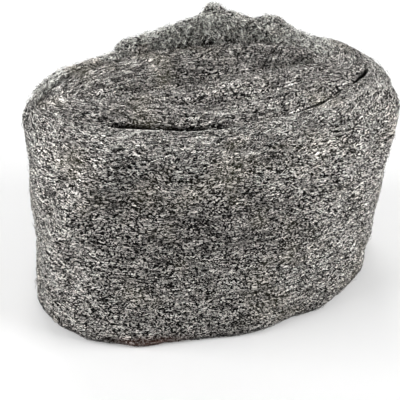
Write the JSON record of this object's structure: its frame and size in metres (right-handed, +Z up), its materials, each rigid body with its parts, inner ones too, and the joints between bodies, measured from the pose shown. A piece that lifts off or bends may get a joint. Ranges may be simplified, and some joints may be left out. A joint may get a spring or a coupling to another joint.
{
  "type": "steel wool roll",
  "caption": "Oval roll of steel wool for scouring and rubbing down: one strip wound flat round a slot, standing on its end, with a torn flap raised at the back.",
  "frame": {"origin": "middle of the bounding box at the bottom, on the surface that the roll stands on", "axes": "+X along the oval's long axis, +Y from the smooth front towards the torn flap at the back, +Z up along the strip's width"},
  "size_m": [0.1594, 0.1062, 0.1049],
  "materials": {
    "steel_wool": "matted fine steel fibres, warm grey with bright glints"
  },
  "bodies": {
    "root": {"steel_wool_roll": "steel_wool"}
  },
  "joints": []
}
